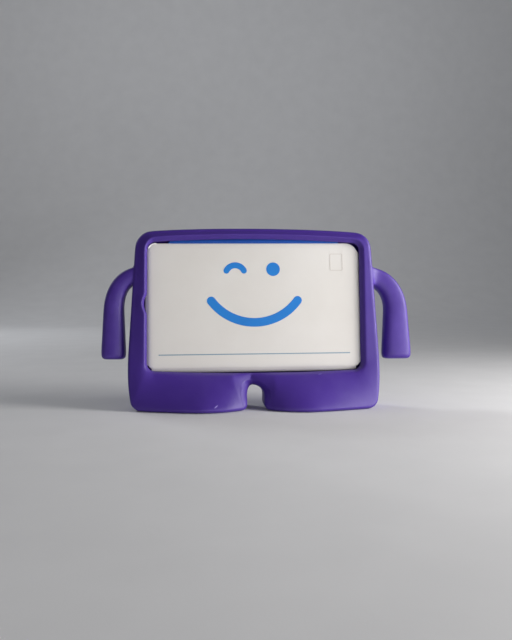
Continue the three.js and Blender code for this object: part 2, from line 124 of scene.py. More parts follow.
def line(a, b):
    a, b = Vector(a), Vector(b)
    return lambda t: a.lerp(b, t)


def bend(a, b, c):
    a, b, c = Vector(a), Vector(b), Vector(c)
    return lambda t: a.lerp(b, t).lerp(b.lerp(c, t), t)


def arc(x, z, radius_x, radius_z, start, end):
    """Part of an ellipse round (x, z), from one angle to another in degrees."""
    def point(t):
        angle = math.radians(lerp(start, end, t))
        return Vector((x + radius_x * math.cos(angle), z + radius_z * math.sin(angle)))
    return point


def tangent(curve, t):
    step = 1e-4
    return (curve(min(1, t + step)) - curve(max(0, t - step))).normalized()


def window_base_at(x):
    """The lip's lower edge sags a little between its corners."""
    half = WINDOW_HALF - WINDOW_CORNER
    return Vector((x, WINDOW_BASE - LIP_SAG * (1 - (x / half) ** 2)))


def window_base(start, end):
    return lambda t: window_base_at(lerp(start, end, t))


def even(count):
    return tuple(step / count for step in range(count))


def outline_segments(side_rows):
    """Half of the frame from the middle of its top to the notch: the window's edge, the outline, the places of the
    rows, how far they belong to a sole, and how far to the notch's sloped wall."""
    corner_x, corner_z = WINDOW_HALF - WINDOW_CORNER, WINDOW_TOP - WINDOW_CORNER
    top = RIM_TOP + TOP_BOW
    low_z = WINDOW_BASE + WINDOW_CORNER
    foot_x = FOOT_HALF - FOOT_CORNER
    arch = NOTCH_HEIGHT - NOTCH_ARCH
    near, far = 2 * NOTCH_HALF, 3 * NOTCH_HALF
    return [
        (bend((0, WINDOW_TOP + LIP_BOW), (WINDOW_HALF / 2, WINDOW_TOP + LIP_BOW), (corner_x, WINDOW_TOP)),
         bend((0, top), (SHOULDER_HALF / 2, top), (SHOULDER_HALF - TOP_CORNER, RIM_TOP)),
         even(7), (0, 0), (0, 0)),
        (arc(corner_x, corner_z, WINDOW_CORNER, WINDOW_CORNER, 90, 0),
         arc(SHOULDER_HALF - TOP_CORNER, RIM_TOP - TOP_CORNER, TOP_CORNER, TOP_CORNER, 90, 0),
         even(5), (0, 0), (0, 0)),
        (line((WINDOW_HALF, corner_z), (WINDOW_HALF, low_z)),
         line((SHOULDER_HALF, RIM_TOP - TOP_CORNER), (HIP_HALF, HIP_HEIGHT)),
         side_rows, (0, 0), (0, 0)),
        (arc(corner_x, low_z, WINDOW_CORNER, WINDOW_CORNER, 0, -45),
         bend((HIP_HALF, HIP_HEIGHT), (HIP_HALF + 0.6, HIP_HEIGHT / 2), (FOOT_HALF, FOOT_CORNER)),
         even(5), (0, 0), (0, 0)),
        (arc(corner_x, low_z, WINDOW_CORNER, WINDOW_CORNER, -45, -90),
         arc(foot_x, FOOT_CORNER, FOOT_CORNER, FOOT_CORNER, 0, -90),
         even(5), (0, 1), (0, 0)),
        (window_base(corner_x, far),
         line((foot_x, 0), (NOTCH_HALF + NOTCH_FLARE, 0)),
         even(10), (1, 1), (0, 0)),
        (window_base(far, near),
         arc(NOTCH_HALF + NOTCH_FLARE, NOTCH_FLARE, NOTCH_FLARE, NOTCH_FLARE, 270, 180),
         even(4), (1, 1), (0, 0.3)),
        (window_base(near, NOTCH_HALF),
         line((NOTCH_HALF, NOTCH_FLARE), (NOTCH_HALF, arch)),
         even(3), (1, 1), (0.3, 1)),
        (window_base(NOTCH_HALF, 0),
         arc(0, arch, NOTCH_HALF, NOTCH_ARCH, 0, 90),
         even(4) + (1,), (1, 1), (1, 0.55)),
    ]


def half_stations(side, side_rows):
    """Rows of the cage round one half, each with its places on the window and the outline and the ways out and in."""
    stations = []
    for index, (window, outer, rows, sole, wall) in enumerate(outline_segments(side_rows)):
        for t in rows:
            way, edge_way = tangent(outer, t), tangent(window, t)
            place = window(t)
            out = Vector((-edge_way.y, edge_way.x))
            if side < 0 and index == 2:
                rise = place.y - BITE_HEIGHT
                chord = max(0, BITE_RADIUS ** 2 - rise ** 2) ** 0.5
                place = place + out * max(0, chord - (BITE_RADIUS - BITE_DEPTH))
            flip = Matrix.Diagonal((side, 1))
            stations.append({
                "window": flip @ place,
                "out": flip @ out,
                "outer": flip @ outer(t),
                "in": flip @ Vector((way.y, -way.x)),
                "sole": lerp(*sole, t),
                "low": 0 if index < 3 else t if index == 3 else 1,
                "wall": lerp(*wall, t),
                "arm": side if index == 2 and ARM_ROWS[0] <= t <= ARM_ROWS[1] else 0,
            })
    return stations


def leg_fullness(x):
    """How far the legs stand out, from the cleft between them to 1 at the fullest, and less towards the hips."""
    fullest = 0.42 * FOOT_HALF
    away = abs(x)
    if away < fullest:
        return 0.2 + 0.8 * math.sin(away / fullest * math.pi / 2)
    return 1 - 0.8 * ((away - fullest) / (FOOT_HALF - fullest)) ** 1.3


def reach_share(x, z):
    """The legs start under the pocket, and at the hips higher up and more softly."""
    sideways = smoothstep(WINDOW_HALF - POCKET_CORNER, FOOT_HALF, abs(x))
    start = lerp(POCKET_BASE, HIP_HEIGHT, sideways)
    return max(0, 1 - z / start) ** lerp(1, 1.4, sideways)


def cleft_at(p):
    """How far the V between the legs cuts into the foam, from the notch up to the lip."""
    if p.y > LOW_TOP:
        return 0
    return CLEFT_DEPTH * max(0, 1 - abs(p.x) / CLEFT_WIDTH)


def front_at(p):
    return cleft_at(p) - RIM_FRONT - TOE_REACH * leg_fullness(p.x) * reach_share(p.x, p.y)


def back_at(p):
    return BACK_FACE + HEEL_REACH * leg_fullness(p.x) * reach_share(p.x, p.y) ** 1.3


def place(p, depth):
    """A place in the figure. The cleft over the notch is pushed a little to one side, and low down the foam is
    sheared, so that toe and heel share one level sole once the figure leans."""
    share = max(0, 1 - p.y / POCKET_BASE)
    slide = 0
    if p.y < LOW_TOP:
        over_notch = smoothstep(NOTCH_HEIGHT - NOTCH_ARCH / 2, NOTCH_HEIGHT + NOTCH_ARCH / 2, p.y)
        slide = CLEFT_SHIFT * over_notch * math.exp(-(p.x / CLEFT_SPREAD) ** 2)
    return Vector((p.x + slide, depth, p.y + math.tan(LEAN) * (depth - TOE_DEPTH) * share))


# Profile rings

def pocket_ring(depth):
    return lambda s: place(s["window"] + s["out"] * LIP_COVER, depth)


def window_ring(depth):
    return lambda s: place(s["window"], depth)


def bevel_point(s):
    """The top of the lip's bevel, which is narrow down the left side and along the base."""
    left = smoothstep(WINDOW_HALF - WINDOW_CORNER, WINDOW_HALF, -s["window"].x)
    return s["window"] + s["out"] * lerp(lerp(LIP_BEVEL, LEFT_BEVEL, left), BASE_BEVEL, s["low"])


def rim_drop(s):
    """The rim's front slopes back to its outer edge, on the right side the least."""
    right = smoothstep(SHOULDER_HALF - TOP_CORNER, SHOULDER_HALF, s["outer"].x)
    return lerp(RIM_DROP, RIM_DROP_RIGHT, right) * (1 - s["low"])


def front_edge(s):
    return s["outer"] + s["in"] * lerp(lerp(FRONT_ROUND, SOLE_ROUND, s["sole"]), NOTCH_WALL, s["wall"])


def back_edge(s):
    return s["outer"] + s["in"] * lerp(BACK_ROUND, SOLE_ROUND, s["sole"])


def bevel_ring(share):
    """Between the lip's edge and the top of its bevel."""
    def at(s):
        p = s["window"].lerp(bevel_point(s), share)
        return place(p, lerp(-LIP_EDGE, front_at(bevel_point(s)), share))
    return at


def front_ring(share):
    """From the ridge beside the lip's bevel to the outer edge. The rim slopes back to its outer edge."""
    def at(s):
        p = bevel_point(s).lerp(front_edge(s), share)
        return place(p, front_at(p) + rim_drop(s) * share)
    return at


def front_turn_ring(turn):
    """Round the front's outer edge. By the notch it is a sloped wall with a small rounding."""
    angle = math.radians(turn)
    slope = {30: (0.34, 0.3), 60: (0.78, 0.72), 90: (1, 1.25)}[turn]

    def at(s):
        edge = front_edge(s)
        radius = lerp(FRONT_ROUND, SOLE_ROUND, s["sole"])
        across = lerp(math.sin(angle), slope[0], s["wall"])
        deep = lerp(radius * (1 - math.cos(angle)), NOTCH_WALL * slope[1], s["wall"])
        return place(edge.lerp(s["outer"], across), front_at(edge) + rim_drop(s) + deep)
    return at


def back_turn_ring(turn):
    angle = math.radians(turn)

    def at(s):
        edge = back_edge(s)
        radius = lerp(BACK_ROUND, SOLE_ROUND, s["sole"])
        return place(edge.lerp(s["outer"], math.sin(angle)), back_at(edge) - radius * (1 - math.cos(angle)))
    return at


def side_ring(share):
    """On the side wall and the sole, between the front's and the back's rounding."""
    front, back = front_turn_ring(90), back_turn_ring(90)
    return lambda s: front(s).lerp(back(s), share)


def back_ring(share):
    def at(s):
        p = s["window"].lerp(back_edge(s), share)
        return place(p, back_at(p))
    return at


# Each ring with its crease and how far an edge there is rubbed lighter
CASE_RINGS = [
    (pocket_ring(POCKET_DEPTH), 1, 0),
    (pocket_ring(0), 1, 0),
    (window_ring(0), 0.7, 0),
    (window_ring(-LIP_EDGE * 0.75), 0, 0.5),
    (bevel_ring(0.12), 0, 0.9),
    (bevel_ring(0.5), 0, 0.3),
    (bevel_ring(0.9), 0, 0.5),
    (front_ring(0.12), 0, 0.3),
    (front_ring(0.36), 0, 0),
    (front_ring(0.6), 0, 0),
    (front_ring(0.82), 0, 0),
    (front_ring(1), 0, 0.2),
    (front_turn_ring(30), 0, 0.4),
    (front_turn_ring(60), 0, 0.6),
    (front_turn_ring(90), 0, 0.3),
    (side_ring(0.5), 0, 0),
    (back_turn_ring(90), 0, 0.3),
    (back_turn_ring(60), 0, 0.5),
    (back_turn_ring(30), 0, 0.3),
    (back_turn_ring(0), 0, 0),
    (back_ring(0.66), 0, 0),
    (back_ring(0.33), 0, 0),
    (back_ring(0), 0, 0),
]
ARM_RINGS = (13, 17)
CLEFT_RINGS = (6, 11)
CLEFT_CREASE = 0.9


def verts_of(geom):
    return [e for e in geom if isinstance(e, bmesh.types.BMVert)]


def new_cage():
    """An empty mesh with the layers that the cages use: a new layer would lose the points made before it."""
    bm = bmesh.new()
    for name in ("row", "across", "deep"):
        bm.verts.layers.int.new(name)
    bm.verts.layers.float.new("worn")
    bm.edges.layers.float.new("crease_edge")
    return bm


def loft(bm, stations, rings, close_end=True):
    """Extrudes a circle ring by ring, and puts each ring's points where its row says. Returns the rings' points."""
    number = bm.verts.layers.int["row"]
    worn = bm.verts.layers.float["worn"]
    crease = bm.edges.layers.float["crease_edge"]
    first = bmesh.ops.create_circle(bm, segments=len(stations), radius=1)["verts"]
    for index, vert in enumerate(first):
        vert[number] = index
    edges = list(bm.edges)
    verts = first
    loops = []
    for at, sharp, rubbed in rings:
        if loops:
            made = bmesh.ops.extrude_edge_only(bm, edges=edges)["geom"]
            verts = verts_of(made)
            kept = set(verts)
            edges = [e for e in made if isinstance(e, bmesh.types.BMEdge) and kept.issuperset(e.verts)]
        for vert in verts:
            vert.co = at(stations[vert[number]])
            vert[worn] = rubbed
        for edge in edges:
            edge[crease] = sharp
        loops.append(sorted(verts, key=lambda v: v[number]))
        if len(loops) == 1:
            bmesh.ops.contextual_create(bm, geom=edges)
    if close_end:
        bmesh.ops.contextual_create(bm, geom=edges)
    return loops


def grow_arm(bm, patch, side, reach, drop, root, hand, middle):
    """Extrudes a patch of the frame's side into an arm, round the shoulder and down to a blunt hand. Root and hand
    are half its width and half its depth, and middle is how deep the hand's middle lies."""
    across = bm.verts.layers.int["across"]
    deep = bm.verts.layers.int["deep"]
    count = len(patch) - 1
    faces = []
    for i, row in enumerate(patch):
        for j, vert in enumerate(row):
            vert[across] = i
            vert[deep] = j
            if i and j:
                faces.append(bm.faces.get((patch[i - 1][j - 1], patch[i][j - 1], patch[i][j], patch[i - 1][j])))
    out = reach - SHOULDER_HALF
    start = ARM_BEND / drop
    stops = [(SHOULDER_HALF + out * math.sin(turn), SHOULDER_HEIGHT - ARM_BEND * (1 - math.cos(turn)), turn,
              start * turn / (math.pi / 2), 0)
             for turn in (math.radians(angle) for angle in (12, 28, 44, 60, 76, 90))]
    length = drop - ARM_BEND
    swell = 1.026  # makes up for what smoothing takes off
    for down in (0.2, 0.45, 0.7, 1 - HAND_ROUND / length, 1 - HAND_ROUND / 4 / length):
        stops.append((reach, SHOULDER_HEIGHT - ARM_BEND - length * down, math.pi / 2, lerp(start, 1, down),
                      HAND_ROUND * 0.22 if down > 0.95 else 0))
    stops.append((reach, SHOULDER_HEIGHT - drop, math.pi / 2, 1, HAND_ROUND * 0.85))
    for x, z, tilt, share, shrink in stops:
        made = bmesh.ops.extrude_face_region(bm, geom=faces)["geom"]
        bmesh.ops.delete(bm, geom=faces, context="FACES")
        faces = [e for e in made if isinstance(e, bmesh.types.BMFace)]
        half_wide = lerp(root[0], hand[0], share) * swell - shrink
        half_deep = lerp(root[1], hand[1], share) * swell - shrink
        set_back = lerp(ROOT_MIDDLE, middle, smoothstep(0, 0.6, share))
        for vert in verts_of(made):
            a = 1 - 2 * vert[across] / count
            b = 2 * vert[deep] / count - 1
            roundness = lerp(INNER_ROUNDNESS, OUTER_ROUNDNESS, (a + 1) / 2)
            wide = half_wide * a * math.sqrt(1 - roundness * b * b)
            depth = half_deep * b * math.sqrt(1 - roundness * a * a)
            vert.co = Vector((side * (x + wide * math.sin(tilt)), set_back + depth, z + wide * math.cos(tilt)))


def finished(bm, name, place_in_row, smooth=True):
    """Merges a mesh, turns its faces outwards and makes it an object whose place is in its mesh."""
    bmesh.ops.remove_doubles(bm, verts=bm.verts, dist=1e-4)
    bmesh.ops.recalc_face_normals(bm, faces=bm.faces)
    bmesh.ops.transform(bm, matrix=place_in_row, verts=bm.verts)
    mesh = bpy.data.meshes.new(name)
    for face in bm.faces:
        face.smooth = smooth
    bm.to_mesh(mesh)
    bm.free()
    made = bpy.data.objects.new(name, mesh)
    bpy.context.scene.collection.objects.link(made)
    return made


def subdivide(made, levels):
    smooth = made.modifiers.new("Smooth", "SUBSURF")
    smooth.levels = levels
    smooth.render_levels = levels


def thicken(made, thickness):
    """Gives a sheet its thickness on the side away from its faces."""
    wall = made.modifiers.new("Thickness", "SOLIDIFY")
    wall.thickness = thickness
    wall.offset = -1


def stand_for(made, node):
    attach(made, "root")
    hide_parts(node)


def make_case():
    right = half_stations(1, RIGHT_ROWS)
    left = half_stations(-1, LEFT_ROWS)
    stations = right + left[-2:0:-1]
    bm = new_cage()
    loops = loft(bm, stations, CASE_RINGS)
    crease = bm.edges.layers.float["crease_edge"]
    cleft = len(right) - 1
    for ring in range(*CLEFT_RINGS):
        edge = bm.edges.get((loops[ring][cleft], loops[ring + 1][cleft]))
        edge[crease] = CLEFT_CREASE
    for side, reach, drop, root, hand, middle in (
            (-1, 129, 76, (7.75, 9.5), (11.25, 11), 11.5),
            (1, 133.5, 77, (8.75, 8.5), (13.75, 9.5), 7.5)):
        rows = [i for i, s in enumerate(stations) if s["arm"] == side]
        if side < 0:
            rows.reverse()
        patch = [[loops[ring][i] for ring in range(ARM_RINGS[0], ARM_RINGS[1] + 1)] for i in rows]
        grow_arm(bm, patch, side, reach, drop, root, hand, middle)
    made = finished(bm, "foam_case", FIGURE_TO_ROW)
    subdivide(made, 2)
    return made


# Display card, drawn about the middle of its panel's front face and then put in the pocket
CARD_HALF = 97.8
CARD_HEIGHT = 115.5
CARD_CORNERS = {"top right": 12, "top left": 7.5, "low left": 5.5, "low right": 6.5}
CARD_THICK = 0.6
CARD_TO_ROW = (
    FIGURE_TO_ROW
    @ Matrix.Translation((0.1, -1.2, 97.5))
    @ Matrix.Rotation(math.radians(-0.4), 4, "Y")
)
# Each ring's size as a share of the panel's, how far inside the outline it lies, and how deep. The edges roll back
# into flaps under the lip.
CARD_RINGS = ((0.5, 4, 0), (0.8, 4, 0), (0.93, 4, 0.03), (1, 5, 0.12), (1, 3.2, 0.26), (1, 1.8, 0.48), (1, 0.7, 0.85),
              (1, 0.15, 1.4), (1, -0.6, 2.2), (1, -1.55, 4.6), (1, -1.6, 9.8))
FLAP_START = 7
LEFT_SPREAD = 1.2
LOW_SPREAD = 1.2
INK_FILM = 0.1


def card_stations():
    """Rows round the panel, each with its corner's centre, the way out and whether a flap hangs there."""
    half_high = CARD_HEIGHT / 2
    top_right, top_left, low_left, low_right = CARD_CORNERS.values()
    corners = (
        (CARD_HALF, half_high, top_right, 0), (-CARD_HALF, half_high, top_left, 90),
        (-CARD_HALF, -half_high, low_left, 180), (CARD_HALF, -half_high, low_right, 270))
    stations = []
    for index, (x, z, radius, start) in enumerate(corners):
        centre = Vector((x - math.copysign(radius, x), z - math.copysign(radius, z)))
        for step in range(6):
            angle = math.radians(start + 18 * step)
            beside_flap = (step < 2 and index != 1) or (step > 3 and index != 0)
            stations.append({"centre": centre, "radius": radius, "flap": beside_flap,
                             "out": Vector((math.cos(angle), math.sin(angle)))})
        next_x, next_z, next_radius, _ = corners[(index + 1) % 4]
        next_centre = Vector((next_x - math.copysign(next_radius, next_x),
                              next_z - math.copysign(next_radius, next_z)))
        for share in (0.012, 0.12, 0.3, 0.5, 0.7, 0.88, 0.988):
            stations.append({"centre": centre.lerp(next_centre, share), "radius": lerp(radius, next_radius, share),
                             "flap": index > 0, "out": stations[-1]["out"]})
    return stations


def card_ring(size, inside, depth):
    """The lower flap spreads the furthest, so that it fills the gap under the panel, and the left one fills the
    bite."""
    def at(s):
        spread = 0
        if inside < 0:
            spread = LEFT_SPREAD * max(0, -s["out"].x) - inside * LOW_SPREAD * max(0, -s["out"].y)
        p = size * (s["centre"] + s["out"] * (s["radius"] - inside + spread))
        return Vector((p.x, depth, p.y))
    return at


def make_card():
    stations = card_stations()
    bm = new_cage()
    loops = loft(bm, stations, [(card_ring(*ring), 0, 0) for ring in CARD_RINGS], close_end=False)
    count = len(stations)
    gone = []
    for ring in range(FLAP_START, len(CARD_RINGS) - 1):
        for i in range(count):
            j = (i + 1) % count
            if not (stations[i]["flap"] and stations[j]["flap"]):
                gone.append(bm.faces.get((loops[ring][i], loops[ring][j], loops[ring + 1][j], loops[ring + 1][i])))
    bmesh.ops.delete(bm, geom=gone, context="FACES")
    made = finished(bm, "display_card_front", CARD_TO_ROW)
    thicken(made, CARD_THICK * 0.001)
    subdivide(made, 2)
    return made


def make_top_flap():
    """The folded upper edge stands up behind the panel, against the lip. It is a strip drawn along the card."""
    bm = bmesh.new()
    ends = [bm.verts.new((x, 1.2, 54)) for x in (-80, 80)]
    edges = [bm.edges.new(ends)]
    for inset, depth, height in ((0, 1, 56.5), (0, 1.1, 58.5), (3, 1.6, 60.5), (14, 2.6, 62.2)):
        made = bmesh.ops.extrude_edge_only(bm, edges=edges)["geom"]
        for vert in verts_of(made):
            vert.co = (math.copysign(80 - inset, vert.co.x), depth, height)
        edges = [e for e in made if isinstance(e, bmesh.types.BMEdge) and set(verts_of(made)).issuperset(e.verts)]
    long_edges = [e for e in bm.edges if abs(e.verts[0].co.x - e.verts[1].co.x) > 100]
    bmesh.ops.subdivide_edges(bm, edges=long_edges, cuts=11, use_grid_fill=True)
    made = finished(bm, "folded_edge", CARD_TO_ROW)
    thicken(made, CARD_THICK * 0.001)
    subdivide(made, 1)
    return made


def make_corner_edge():
    """The card's edge, bent outwards round the upper left corner: a thin round strip, partly a real curled edge and
    partly a painted highlight, as it is given whiter card than the panel.
    """
    radius = CARD_CORNERS["top left"]
    centre = Vector((radius - CARD_HALF, 0.55, CARD_HEIGHT / 2 - radius))
    bm = bmesh.new()
    ring = bmesh.ops.create_circle(bm, segments=10, radius=0.6,
                                   matrix=Matrix.Translation(centre - Vector((radius - 0.6, 0, 0))))["verts"]
    bmesh.ops.rotate(bm, verts=ring, cent=centre, matrix=Matrix.Rotation(math.radians(20), 3, "Y"))
    bmesh.ops.spin(bm, geom=ring + list(bm.edges), cent=centre, axis=(0, 1, 0), angle=math.radians(78), steps=14)
    bmesh.ops.holes_fill(bm, edges=bm.edges, sides=0)
    return finished(bm, "card_corner_edge", CARD_TO_ROW)


def ink_piece(bm, name):
    """Gives a flat drawing on the panel the thickness of a film of ink."""
    bmesh.ops.remove_doubles(bm, verts=bm.verts, dist=1e-3)
    bmesh.ops.translate(bm, verts=bm.verts, vec=(0, -0.01, 0))
    made = bmesh.ops.extrude_face_region(bm, geom=bm.faces)["geom"]
    bmesh.ops.translate(bm, verts=verts_of(made), vec=(0, -INK_FILM, 0))
    return finished(bm, name, CARD_TO_ROW, smooth=False)


def stroke(name, x, z, span, sag, width, up):
    """A curved stroke with round ends, whose middle is at (x, z)."""
    radius = (span * span / 4 + sag * sag) / (2 * sag)
    half = math.asin(span / 2 / radius)
    side = 1 if up else -1
    centre = Vector((x, 0, z - side * radius))
    bm = bmesh.new()
    line_verts = [bm.verts.new(centre + Vector((0, 0, side * (radius + off)))) for off in
                  (-width / 2, 0, width / 2)]
    line_edges = [bm.edges.new(line_verts[:2]), bm.edges.new(line_verts[1:])]
    bmesh.ops.rotate(bm, verts=line_verts, cent=centre, matrix=Matrix.Rotation(-half, 3, "Y"))
    first = [vert.co.copy() for vert in line_verts]
    bmesh.ops.spin(bm, geom=line_verts + line_edges, cent=centre, axis=(0, 1, 0), angle=2 * half, steps=40)
    last = [Matrix.Rotation(2 * half, 3, "Y") @ (co - centre) + centre for co in first]
    for (inner, middle, outer), turn in ((first, -math.pi), (last, math.pi)):
        cap = [bm.verts.new(middle), bm.verts.new(outer)]
        bmesh.ops.spin(bm, geom=cap + [bm.edges.new(cap)], cent=middle, axis=(0, 1, 0), angle=turn, steps=14)
    return ink_piece(bm, name)


def make_dot():
    bm = bmesh.new()
    bmesh.ops.create_circle(bm, segments=56, radius=6.3, cap_ends=True,
                            matrix=Matrix.Translation((17.5, 0, 33.05)) @ Matrix.Rotation(math.pi / 2, 4, "X"))
    return ink_piece(bm, "dot_ink")


def make_rule():
    bm = bmesh.new()
    bmesh.ops.create_grid(bm, x_segments=20, y_segments=1, size=0.5, matrix=Matrix.Translation((0, 0, -44.85))
                          @ Matrix.Rotation(math.pi / 2, 4, "X") @ Matrix.Diagonal((175.5, 0.9, 1, 1)))
    return ink_piece(bm, "rule_ink")


def make_box_outline():
    bm = bmesh.new()
    bmesh.ops.create_grid(bm, x_segments=1, y_segments=1, size=0.5, matrix=Matrix.Translation((76.5, 0, 39.45))
                          @ Matrix.Rotation(math.pi / 2, 4, "X") @ Matrix.Diagonal((12, 15.8, 1, 1)))
    bmesh.ops.bevel(bm, geom=bm.verts, offset=1.2, affect="VERTICES", segments=3, profile=0.5, material=-1)
    middle = list(bm.faces)
    bmesh.ops.inset_region(bm, faces=middle, thickness=0.6, use_boundary=True, use_even_offset=True)
    bmesh.ops.delete(bm, geom=middle, context="FACES_ONLY")
    return ink_piece(bm, "box_ink")


case = make_case()
card = make_card()
flap = make_top_flap()
smile = stroke("smile_ink", 0, -15.95, 79.5, 20, 8, False)
wink = stroke("wink_ink", -17.5, 36.85, 16, 5, 5.5, True)
dot = make_dot()
rule = make_rule()
box_outline = make_box_outline()
for made, node, slot in (
        (case, "case_body", "foam"), (card, "display_card", "card"), (flap, "top_flap", "card_blue"),
        (smile, "smile_print", "ink_blue"), (wink, "winking_eye_print", "ink_blue"),
        (dot, "open_eye_print", "ink_blue"), (rule, "rule_print", "ink_pale"), (box_outline, "box_print", "ink_grey")):
    stand_for(made, node)
corner_edge = make_corner_edge()
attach(corner_edge, "root")

# Finishes

def new_group(name, inputs, output, output_type="NodeSocketFloat"):
    """A node group with its named inputs and one output. Returns the group, its input node and its output socket."""
    group = bpy.data.node_groups.new(name, "ShaderNodeTree")
    for label, kind, value in inputs:
        socket = group.interface.new_socket(name=label, in_out="INPUT", socket_type=kind)
        if value is not None:
            socket.default_value = value
    group.interface.new_socket(name=output, in_out="OUTPUT", socket_type=output_type)
    return group, group.nodes.new("NodeGroupInput"), group.nodes.new("NodeGroupOutput").inputs[output]


def add(tree, kind, **settings):
    node = tree.nodes.new(kind)
    for name, value in settings.items():
        setattr(node, name, value)
    return node


def map_range(tree, value, low, high, to_low, to_high, smooth=False):
    node = add(tree, "ShaderNodeMapRange", interpolation_type="SMOOTHSTEP" if smooth else "LINEAR")
    for socket, number in zip(("From Min", "From Max", "To Min", "To Max"), (low, high, to_low, to_high)):
        node.inputs[socket].default_value = number
    tree.links.new(value, node.inputs["Value"])
    return node.outputs["Result"]


def make_mottle():
    """Slow change over the surface, from 0 to 1: Scale is in waves to the metre."""
    group, given, out = new_group("mottle", (
        ("Vector", "NodeSocketVector", None), ("Scale", "NodeSocketFloat", 30.0), ("Detail", "NodeSocketFloat", 3.0)),
        "Value")
    noise = add(group, "ShaderNodeTexNoise")
    for name in ("Vector", "Scale", "Detail"):
        group.links.new(given.outputs[name], noise.inputs[name])
    group.links.new(map_range(group, noise.outputs["Fac"], 0.3, 0.7, 0, 1), out)
    return group


def make_grain():
    """The fine unevenness of a moulded or pressed surface, as a height from 0 to 1."""
    group, given, out = new_group("grain", (
        ("Vector", "NodeSocketVector", None), ("Scale", "NodeSocketFloat", 900.0),
        ("Pits", "NodeSocketFloat", 0.3)), "Height")
    noise = add(group, "ShaderNodeTexNoise")
    noise.inputs["Detail"].default_value = 4
    cells = add(group, "ShaderNodeTexVoronoi")
    blend = add(group, "ShaderNodeMix", data_type="FLOAT")
    for node in (noise, cells):
        group.links.new(given.outputs["Vector"], node.inputs["Vector"])
        group.links.new(given.outputs["Scale"], node.inputs["Scale"])
    group.links.new(given.outputs["Pits"], blend.inputs[0])
    group.links.new(noise.outputs["Fac"], blend.inputs[2])
    group.links.new(cells.outputs["Distance"], blend.inputs[3])
    group.links.new(blend.outputs[0], out)
    return group


def make_nick_and_highlight_mask():
    """A short mark at a place, 1 in its middle, which draws both a scrape and a painted highlight: Size is half its
    length, half its width and half its depth.
    """
    group, given, out = new_group("nick", (
        ("Vector", "NodeSocketVector", None), ("Place", "NodeSocketVector", None),
        ("Turn", "NodeSocketVector", None), ("Size", "NodeSocketVector", None)), "Mask")
    shift = add(group, "ShaderNodeVectorMath", operation="SUBTRACT")
    turn = add(group, "ShaderNodeVectorRotate", rotation_type="EULER_XYZ")
    fit = add(group, "ShaderNodeVectorMath", operation="DIVIDE")
    away = add(group, "ShaderNodeVectorMath", operation="LENGTH")
    group.links.new(given.outputs["Vector"], shift.inputs[0])
    group.links.new(given.outputs["Place"], shift.inputs[1])
    group.links.new(shift.outputs[0], turn.inputs["Vector"])
    group.links.new(given.outputs["Turn"], turn.inputs["Rotation"])
    group.links.new(turn.outputs[0], fit.inputs[0])
    group.links.new(given.outputs["Size"], fit.inputs[1])
    group.links.new(fit.outputs[0], away.inputs[0])
    group.links.new(map_range(group, away.outputs["Value"], 0.4, 1, 1, 0, smooth=True), out)
    return group


MOTTLE, GRAIN, NICK_AND_HIGHLIGHT_MASK = make_mottle(), make_grain(), make_nick_and_highlight_mask()


class Finish:
    """A material under construction: its tree, its shader and the coordinates of the piece."""

    def __init__(self, name, **constants):
        self.material = bpy.data.materials.new(name)
        self.material.use_nodes = True
        self.tree = self.material.node_tree
        self.shader = self.tree.nodes["Principled BSDF"]
        self.where = add(self.tree, "ShaderNodeTexCoord").outputs["Object"]
        for socket, value in constants.items():
            self.shader.inputs[socket.replace("_", " ")].default_value = value

    def link(self, value, socket):
        self.tree.links.new(value, socket)

    def group(self, group, **inputs):
        node = add(self.tree, "ShaderNodeGroup", node_tree=group)
        self.link(self.where, node.inputs["Vector"])
        for socket, value in inputs.items():
            node.inputs[socket].default_value = value
        return node.outputs[0]

    def blend(self, share, first, second):
        """Mixes two colours, each a tuple or a socket, by a share."""
        node = add(self.tree, "ShaderNodeMix", data_type="RGBA")
        self.link(share, node.inputs[0])
        for colour, socket in ((first, node.inputs[6]), (second, node.inputs[7])):
            if isinstance(colour, tuple):
                socket.default_value = (*colour, 1)
            else:
                self.link(colour, socket)
        return node.outputs[2]

    def bump(self, height, strength, distance, normal=None):
        node = add(self.tree, "ShaderNodeBump")
        node.inputs["Strength"].default_value = strength
        node.inputs["Distance"].default_value = distance
        self.link(height, node.inputs["Height"])
        if normal is not None:
            self.link(normal, node.inputs["Normal"])
        return node.outputs["Normal"]

    def set(self, colour, roughness, normal):
        self.link(colour, self.shader.inputs["Base Color"])
        self.link(roughness, self.shader.inputs["Roughness"])
        self.link(normal, self.shader.inputs["Normal"])
        return self.material


